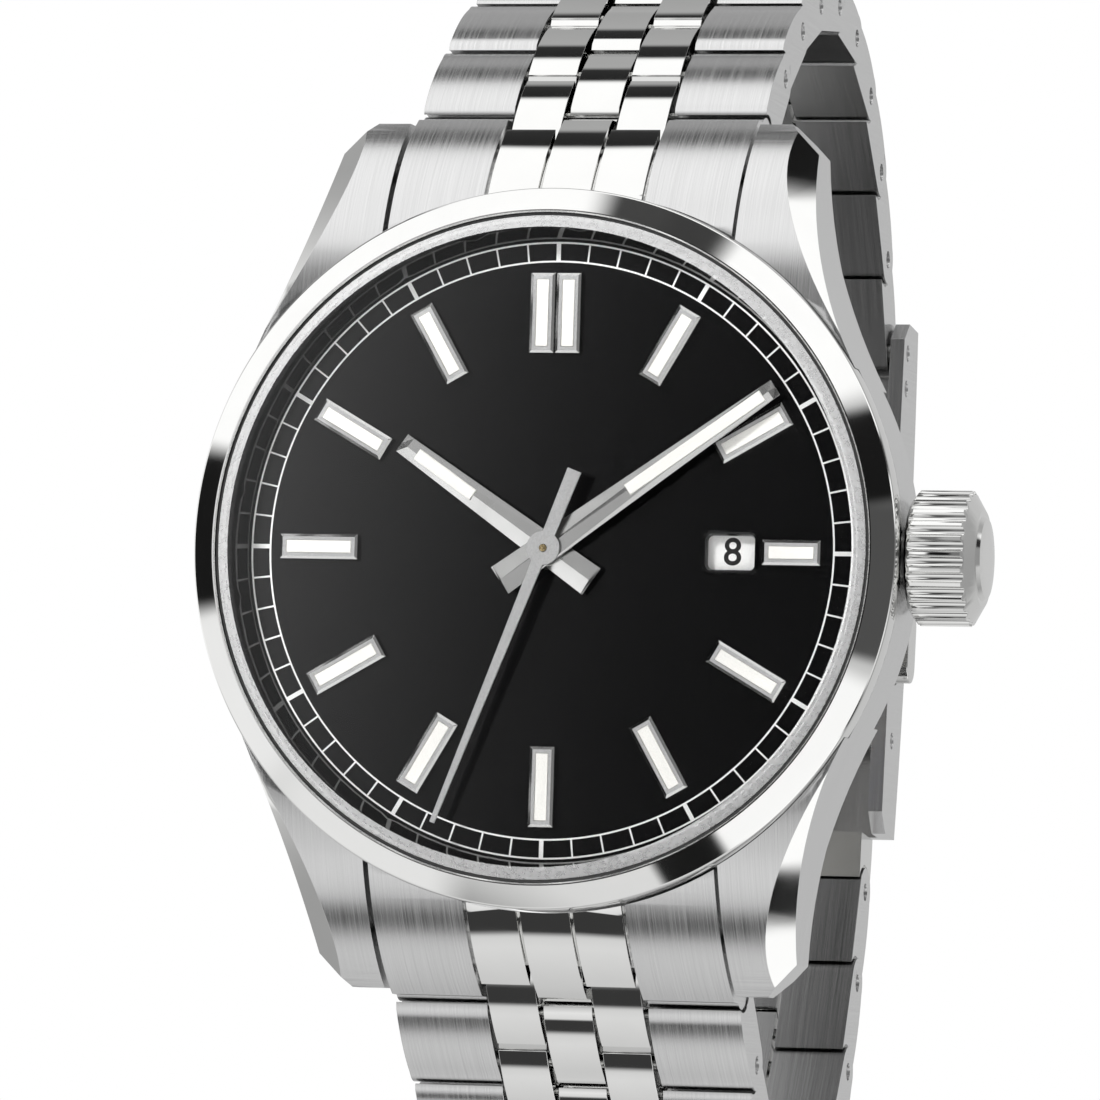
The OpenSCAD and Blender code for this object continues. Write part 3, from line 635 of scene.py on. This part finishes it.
def finish_nodes():
    """Gives the CAD nodes that stay in view their materials and rounded edges."""
    for name, (material, width) in NODE_LOOKS.items():
        piece = NODES[name]
        smooth(piece.data)
        set_material(piece, material)
        round_edges(piece, width * MM)
    for name in BRACELET_LINKS + END_LINKS:
        NODES[name].data.materials.append(polished_steel)
        NODES[name].data.materials.append(link_painted_shade)
        pick_faces(NODES[name], 1, in_centre_rows)
        # The wrist side of each link takes the darker copy of the steel as painted shade
        pick_faces(NODES[name], 2, faces_wrist)
    NODES["case_middle"].data.materials.append(polished_steel)
    pick_faces(NODES["case_middle"], 1, on_lug_facet)
    NODES["crystal"].data.materials.append(sapphire_edge)
    pick_faces(NODES["crystal"], 1, on_crystal_bevel)


# ---------- Bezel: sizes ----------

# Thickness of the crystal's gasket, width of the ledge below it, and play under the crystal
GASKET_T = 0.18
SEAT_LEDGE = 0.38
SEAT_GAP = 0.02
# Points of the lip at the rim: how far in from the rim and how far below the top
OUTER_LIP = [(0.0, 0.98), (0.02, 0.88), (0.06, 0.80), (0.12, 0.74)]
# Points of the lip at the opening: how far out from the opening and how far below the top
INNER_LIP = [(0.20, 0.03), (0.15, 0.0), (0.08, 0.0), (0.0, 0.08)]
BEZEL_SHARP_ANGLE = math.radians(12)
BEZEL_STEPS = 360


def bezel_radii():
    """Outer radius of the bezel, and radius of its opening around the crystal's gasket."""
    outer = node_size("bezel").x / 2 / MM
    inner = node_size("crystal").x / 2 / MM + GASKET_T
    return outer, inner


def bezel_tilt():
    """Angle between the dial's axis and the normal of the bezel's cone."""
    outer, inner = bezel_radii()
    low_inset, low_drop = OUTER_LIP[-1]
    high_inset, high_drop = INNER_LIP[0]
    return math.atan2(low_drop - high_drop, (outer - low_inset) - (inner + high_inset))


# ---------- Building meshes in the head's frame ----------

CORNER_STEPS = 8


def head_point(x, y, z):
    """A point given in millimetres in the head's frame, in metres in the part's frame."""
    return Vector((x * MM, -z * MM, y * MM))


def new_piece(name, bm, material, body):
    """Makes an object of a mesh built in the head's frame, and lets it ride on a body."""
    for vert in bm.verts:
        vert.co = head_point(*vert.co)
    bmesh.ops.recalc_face_normals(bm, faces=bm.faces)
    mesh = bpy.data.meshes.new(name)
    bm.to_mesh(mesh)
    bm.free()
    piece = bpy.data.objects.new(name, mesh)
    bpy.context.scene.collection.objects.link(piece)
    mesh.materials.append(material)
    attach(piece, body)
    return piece


def add_loops(bm, loops, closed=False):
    """Skins a row of equal loops of points into a solid; a closed row joins its last to its first."""
    rows = [[bm.verts.new(point) for point in loop] for loop in loops]
    count = len(rows[0])
    pairs = list(zip(rows, rows[1:]))
    if closed:
        pairs.append((rows[-1], rows[0]))
    for lower, upper in pairs:
        for i in range(count):
            j = (i + 1) % count
            bm.faces.new((lower[i], lower[j], upper[j], upper[i]))
    if not closed:
        bm.faces.new(rows[0][::-1])
        bm.faces.new(rows[-1])


def add_rings(bm, profile, steps, centre=(0.0, 0.0)):
    """Turns a closed (radius, z) profile about the z axis through the centre."""
    loops = []
    for k in range(steps):
        angle = 2 * math.pi * k / steps
        loops.append([
            (centre[0] + r * math.cos(angle), centre[1] + r * math.sin(angle), z) for r, z in profile
        ])
    add_loops(bm, loops, closed=True)


def flat_ring(inner, outer, low, high):
    """Profile of a ring with a rectangular section, for add_rings()."""
    return [(inner, low), (outer, low), (outer, high), (inner, high)]


def rectangle(half_x, half_y, z, clock_angle, centre):
    """Corners of a rectangle at height z, moved to its centre and then turned clockwise."""
    corners = [(-half_x, -half_y), (half_x, -half_y), (half_x, half_y), (-half_x, half_y)]
    return [turned(centre[0] + x, centre[1] + y, z, clock_angle) for x, y in corners]


def turned(x, y, z, clock_angle):
    """A point turned clockwise about the dial's centre, seen from the front."""
    angle = math.radians(clock_angle)
    return (
        x * math.cos(angle) + y * math.sin(angle),
        y * math.cos(angle) - x * math.sin(angle),
        z,
    )


def rounded_rectangle(half_x, half_y, radius, z, centre):
    """Points around a rectangle with round corners."""
    points = []
    for corner, (sx, sy) in enumerate(((1, 1), (-1, 1), (-1, -1), (1, -1))):
        for k in range(CORNER_STEPS + 1):
            angle = math.radians(90 * corner + 90 * k / CORNER_STEPS)
            points.append((
                centre[0] + sx * (half_x - radius) + radius * math.cos(angle),
                centre[1] + sy * (half_y - radius) + radius * math.sin(angle),
                z,
            ))
    return points


# ---------- Bezel ----------

def make_bezel():
    """The bezel: a broad polished cone between two thin rounded lips."""
    seat_z = -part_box("bezel")[1].y / MM
    top = -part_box("bezel")[0].y / MM
    ledge_z = -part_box("crystal")[1].y / MM - SEAT_GAP
    outer, inner = bezel_radii()
    seat = inner - SEAT_LEDGE
    profile = [(seat, seat_z), (outer, seat_z)]
    profile += [(outer - inset, top - drop) for inset, drop in OUTER_LIP]
    profile += [(inner + inset, top - drop) for inset, drop in INNER_LIP]
    profile += [(inner, ledge_z), (seat, ledge_z)]
    bm = bmesh.new()
    add_rings(bm, profile, BEZEL_STEPS)
    bezel = new_piece("bezel_ring", bm, polished_steel, "watch_head")
    smooth(bezel.data)
    bezel.data.set_sharp_from_angle(angle=BEZEL_SHARP_ANGLE)
    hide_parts("bezel")


# ---------- Dial ----------

# Height of the dial's face
DIAL_Z = -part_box("dial")[0].y / MM
# Radii of the minute track's two circles and width of its lines
TRACK_INNER = 16.48
TRACK_OUTER = 17.55
TRACK_LINE = 0.10
FIVE_MINUTE_W = 0.25
TRACK_STEPS = 240
# How deep the track's print reaches into the dial, how far it stands out, and how much more its bars do
PRINT_SUNK = 0.005
PRINT_H = 0.012
BAR_PROUD = 0.001
# Hour markers: distance of their inner end from the centre, length, width and height, height of their
# upright sides, how far in the slant above them goes, and radius of their edges
MARKER_START = 11.2
MARKER_LEN = 4.6
MARKER_W = 1.45
MARKER_H = 0.5
MARKER_SIDE_H = 0.43
MARKER_SLANT = 0.17
MARKER_EDGE = 0.025
# Gap between the two markers at 12 o'clock
TWIN_GAP = 0.06
# How much shorter the marker beside the date window is
DATE_MARKER_CUT = 1.2
# Luminous bars, the steel beyond their ends, the gap around them and the depth of their groove
LUME_W = 0.7
LUME_END = 0.4
LUME_GAP = 0.02
LUME_GROOVE = 0.21
# Section of the date window's frame: half width, half height, corner radius and height above the dial
DATE_FRAME = [
    (1.36, 0.96, 0.32, -0.35),
    (1.66, 1.26, 0.50, -0.02),
    (1.66, 1.26, 0.50, 0.06),
    (1.56, 1.16, 0.44, 0.14),
    (1.44, 1.04, 0.36, 0.10),
]
# Numbers on the date ring: distance from the centre, height, thickness and how much bolder they are drawn
NUMERAL_RADIUS = 10.5
NUMERAL_H = 2.2
NUMERAL_T = 0.004
NUMERAL_BOLDER = 0.025
DAYS = 31
DAY_SHOWN = 8


def make_minute_track():
    """Two thin circles joined by a line for each minute, with a broad line for each fifth."""
    bm = bmesh.new()
    low = DIAL_Z - PRINT_SUNK
    high = DIAL_Z + PRINT_H
    for radius in (TRACK_INNER, TRACK_OUTER):
        circle = flat_ring(radius - TRACK_LINE / 2, radius + TRACK_LINE / 2, low, high)
        add_rings(bm, circle, TRACK_STEPS)
    middle = (0.0, (TRACK_INNER + TRACK_OUTER) / 2)
    half_len = (TRACK_OUTER - TRACK_INNER) / 2
    for minute in range(60):
        half_w = (FIVE_MINUTE_W if minute % 5 == 0 else TRACK_LINE) / 2
        heights = (low, high + BAR_PROUD)
        add_loops(bm, [rectangle(half_w, half_len, z, 6 * minute, middle) for z in heights])
    new_piece("minute_track", bm, print_white, "watch_head")


def marker_places():
    """Clock angle, sideways step, start and length of each hour marker."""
    places = [(30 * hour, 0.0, MARKER_START, MARKER_LEN) for hour in (1, 2, 4, 5, 6, 7, 8, 9, 10, 11)]
    places.append((90, 0.0, MARKER_START + DATE_MARKER_CUT, MARKER_LEN - DATE_MARKER_CUT))
    for side in (-1, 1):
        places.append((0, side * (MARKER_W + TWIN_GAP) / 2, MARKER_START, MARKER_LEN))
    return places


def make_hour_markers():
    """Polished frames with slanted sides and ends around the luminous bars."""
    bm = bmesh.new()
    for clock_angle, step, start, length in marker_places():
        middle = (step, start + length / 2)
        half_w = MARKER_W / 2
        half_l = length / 2
        groove_w = LUME_W / 2 + LUME_GAP
        groove_l = half_l - LUME_END + LUME_GAP
        steps = [
            (half_w, half_l, 0.0),
            (half_w, half_l, MARKER_SIDE_H),
            (half_w - MARKER_SLANT, half_l - MARKER_SLANT, MARKER_H),
            (groove_w, groove_l, MARKER_H),
            (groove_w, groove_l, MARKER_H - LUME_GROOVE),
        ]
        add_loops(bm, [rectangle(x, y, DIAL_Z + z, clock_angle, middle) for x, y, z in steps])
    markers = new_piece("hour_marker_frames", bm, marker_steel, "watch_head")
    markers.data.materials.append(matt_plating)
    pick_faces(markers, 1, faces_front)
    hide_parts("hour_markers")
    bevel = markers.modifiers.new("bevel", "BEVEL")
    bevel.width = MARKER_EDGE * MM
    bevel.segments = EDGE_SEGMENTS


def make_date_window():
    """A black frame with round corners around the date window."""
    bm = bmesh.new()
    middle = (NUMERAL_RADIUS, 0.0)
    loops = [rounded_rectangle(x, y, radius, DIAL_Z + z, middle) for x, y, radius, z in DATE_FRAME]
    add_loops(bm, loops, closed=True)
    window = new_piece("date_window_frame", bm, flange_black, "watch_head")
    smooth(window.data)
    window.data.set_sharp_from_angle(angle=SHARP_ANGLE)


def day_number(day, ring_face):
    """The mesh of a day's number, laid on the face of the date ring at its place."""
    text = bpy.data.curves.new(f"day_{day}", "FONT")
    text.body = str(day)
    text.size = NUMERAL_H * MM
    text.align_x = "CENTER"
    text.align_y = "CENTER"
    text.extrude = NUMERAL_T * MM
    text.offset = NUMERAL_BOLDER * MM
    text.resolution_u = 6
    holder = bpy.data.objects.new(f"day_{day}", text)
    bpy.context.scene.collection.objects.link(holder)
    bpy.context.view_layer.update()
    mesh = bpy.data.meshes.new_from_object(holder)
    bpy.data.objects.remove(holder)
    upright = Matrix.Rotation(math.pi / 2, 4, "X")
    in_window = Matrix.Translation((NUMERAL_RADIUS * MM, ring_face, 0))
    turn = Matrix.Rotation(math.radians(360 * (DAY_SHOWN - day) / DAYS), 4, "Y")
    mesh.transform(turn @ in_window @ upright)
    return mesh


def make_date_numerals():
    """The numbers of the days around the date ring, with the day shown in the window."""
    ring_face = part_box("date_ring")[0].y
    bm = bmesh.new()
    for day in range(1, DAYS + 1):
        bm.from_mesh(day_number(day, ring_face))
    joined = bpy.data.meshes.new("date_numerals")
    bm.to_mesh(joined)
    bm.free()
    numerals = bpy.data.objects.new("date_numerals", joined)
    bpy.context.scene.collection.objects.link(numerals)
    set_material(numerals, print_black)
    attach(numerals, "date_works")


# ---------- Hands ----------

# The time at rest, about nine minutes past ten
HOURS_SHOWN = 10.15
MINUTES_SHOWN = 9.1
# Both hands: length and end width of the tail, and how far the slopes at the tip and the tail's end reach
TAIL = 3.2
TAIL_W = 1.85
TIP_SLOPE = 0.45
TAIL_SLOPE = 0.12
# Height of a hand's sides and of the ridge between them, and rise of the ridge where it starts and ends
SIDE_H = 0.10
RIDGE_H = 0.27
END_RAISE = 0.02
HAND_EDGE = 0.02
# How far a hub stays below the ridge
HUB_DROP = 0.01
# The hour hand's hub has a round flange at its foot, which reaches a little into the hub
FLANGE_RADIUS = 3.0
FLANGE_T = 0.15
FLANGE_OVERLAP = 0.05
HUB_STEPS = 64
FLANGE_STEPS = 96
# Luminous strips: how far in from their sides and how far above the hand's sides their section's points lie
STRIP_SECTION = [(0.0, 0.0), (0.0, RIDGE_H - SIDE_H + 0.02), (0.04, RIDGE_H - SIDE_H + 0.06)]


def blade_section(half_w, y, z, side_h, ridge_h, clock_angle):
    """One cross-section of a hand: a roof on two low sides."""
    points = [
        (-half_w, z), (half_w, z), (half_w, z + side_h), (0.0, z + ridge_h), (-half_w, z + side_h),
    ]
    return [turned(x, y, height, clock_angle) for x, height in points]


def make_hand(node, body, clock_angle, length, tip_w, z, hub, bore, foot):
    """A hand with a ridge along its blade and tail, and a hub on its tube."""
    taper = (TAIL_W - tip_w) / (length + TAIL)
    stations = [
        (-TAIL, SIDE_H + END_RAISE),
        (TAIL_SLOPE - TAIL, RIDGE_H),
        (length - TIP_SLOPE, RIDGE_H),
        (length, SIDE_H + END_RAISE),
    ]
    sections = []
    for y, ridge_h in stations:
        half_w = (TAIL_W - taper * (y + TAIL)) / 2
        sections.append(blade_section(half_w, y, z, SIDE_H, ridge_h, clock_angle))
    bm = bmesh.new()
    add_loops(bm, sections)
    add_rings(bm, flat_ring(bore, hub, foot, z + RIDGE_H - HUB_DROP), HUB_STEPS)
    if node == "hour_hand":
        flange = flat_ring(hub - FLANGE_OVERLAP, FLANGE_RADIUS, foot, foot + FLANGE_T)
        add_rings(bm, flange, FLANGE_STEPS)
    hand = new_piece(node + "_blade", bm, hand_steel, body)
    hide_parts(node)
    bevel = hand.modifiers.new("bevel", "BEVEL")
    bevel.width = HAND_EDGE * MM
    bevel.segments = EDGE_SEGMENTS
    bevel.limit_method = "ANGLE"
    bevel.angle_limit = SHARP_ANGLE


def make_hand_lume(node, body, clock_angle, z, start, stop):
    """The luminous strip along a hand, from start to stop."""
    middle = (0.0, (start + stop) / 2)
    half_len = (stop - start) / 2
    bm = bmesh.new()
    add_loops(bm, [
        rectangle(LUME_W / 2 - inset, half_len - inset, z + SIDE_H + height, clock_angle, middle)
        for inset, height in STRIP_SECTION
    ])
    new_piece(node + "_blade_lume", bm, lume_paint, body)


def make_hands():
    """The hour and minute hands at the time shown."""
    hour_angle = 30 * HOURS_SHOWN
    hour_z = DIAL_Z + 0.65
    make_hand(
        "hour_hand", "hour_works", hour_angle, length=10.55, tip_w=1.2,
        z=hour_z, hub=0.98, bore=0.68, foot=DIAL_Z - 0.8,
    )
    make_hand_lume("hour_hand", "hour_works", hour_angle, hour_z, start=5.3, stop=9.4)
    minute_angle = 6 * MINUTES_SHOWN
    minute_z = DIAL_Z + 1.1
    make_hand(
        "minute_hand", "minute_works", minute_angle, length=16.05, tip_w=1.0,
        z=minute_z, hub=0.60, bore=0.28, foot=DIAL_Z - 1.5,
    )
    make_hand_lume("minute_hand", "minute_works", minute_angle, minute_z, start=5.8, stop=15.2)


# ---------- Movement ----------

# Wheels with a bearing in the train bridge, and last the balance, with one in its cock
JEWELLED = ["third_wheel", "second_wheel", "escape_wheel", "barrel", "balance_wheel"]
# Height of the outer faces of the bridge and the cock, which look to the back of the watch
PLATE_FACE = 3.5
# Section of a jewel with an oil cup: radius, and height above PLATE_FACE
JEWEL_SECTION = [(0.12, 0.15), (0.40, 0.15), (0.40, -0.04), (0.22, -0.06), (0.12, 0.02)]
SETTING_SECTION = flat_ring(0.40, 0.60, 0.1, -0.05)
JEWEL_STEPS = 40


def turned_bearing(name, section, spot, material):
    """A small ring of the given section, set in a plate over a wheel's staff."""
    bm = bmesh.new()
    add_rings(bm, [(radius, PLATE_FACE + z) for radius, z in section], JEWEL_STEPS, spot)
    ring = new_piece(name, bm, material, "watch_head")
    smooth(ring.data)
    return ring


def make_jewels():
    """Ruby bearings with gilt settings, over the staff of each wheel."""
    for wheel in JEWELLED:
        centre = node_centre(wheel)
        spot = (centre.x / MM, centre.z / MM)
        turned_bearing(f"jewel_{wheel}", JEWEL_SECTION, spot, jewel_ruby)
        setting = turned_bearing(f"setting_{wheel}", SETTING_SECTION, spot, gilt_brass)
        setting.data.set_sharp_from_angle(angle=SHARP_ANGLE)


# ---------- Scene ----------

make_camera()
bpy.context.scene.view_settings.view_transform = "Standard"
make_tent()
make_floor(floor_paper)
for softbox in SOFTBOXES:
    make_lamp(*softbox)
finish_nodes()
make_bezel()
make_minute_track()
make_hour_markers()
make_date_window()
make_date_numerals()
make_hands()
make_jewels()
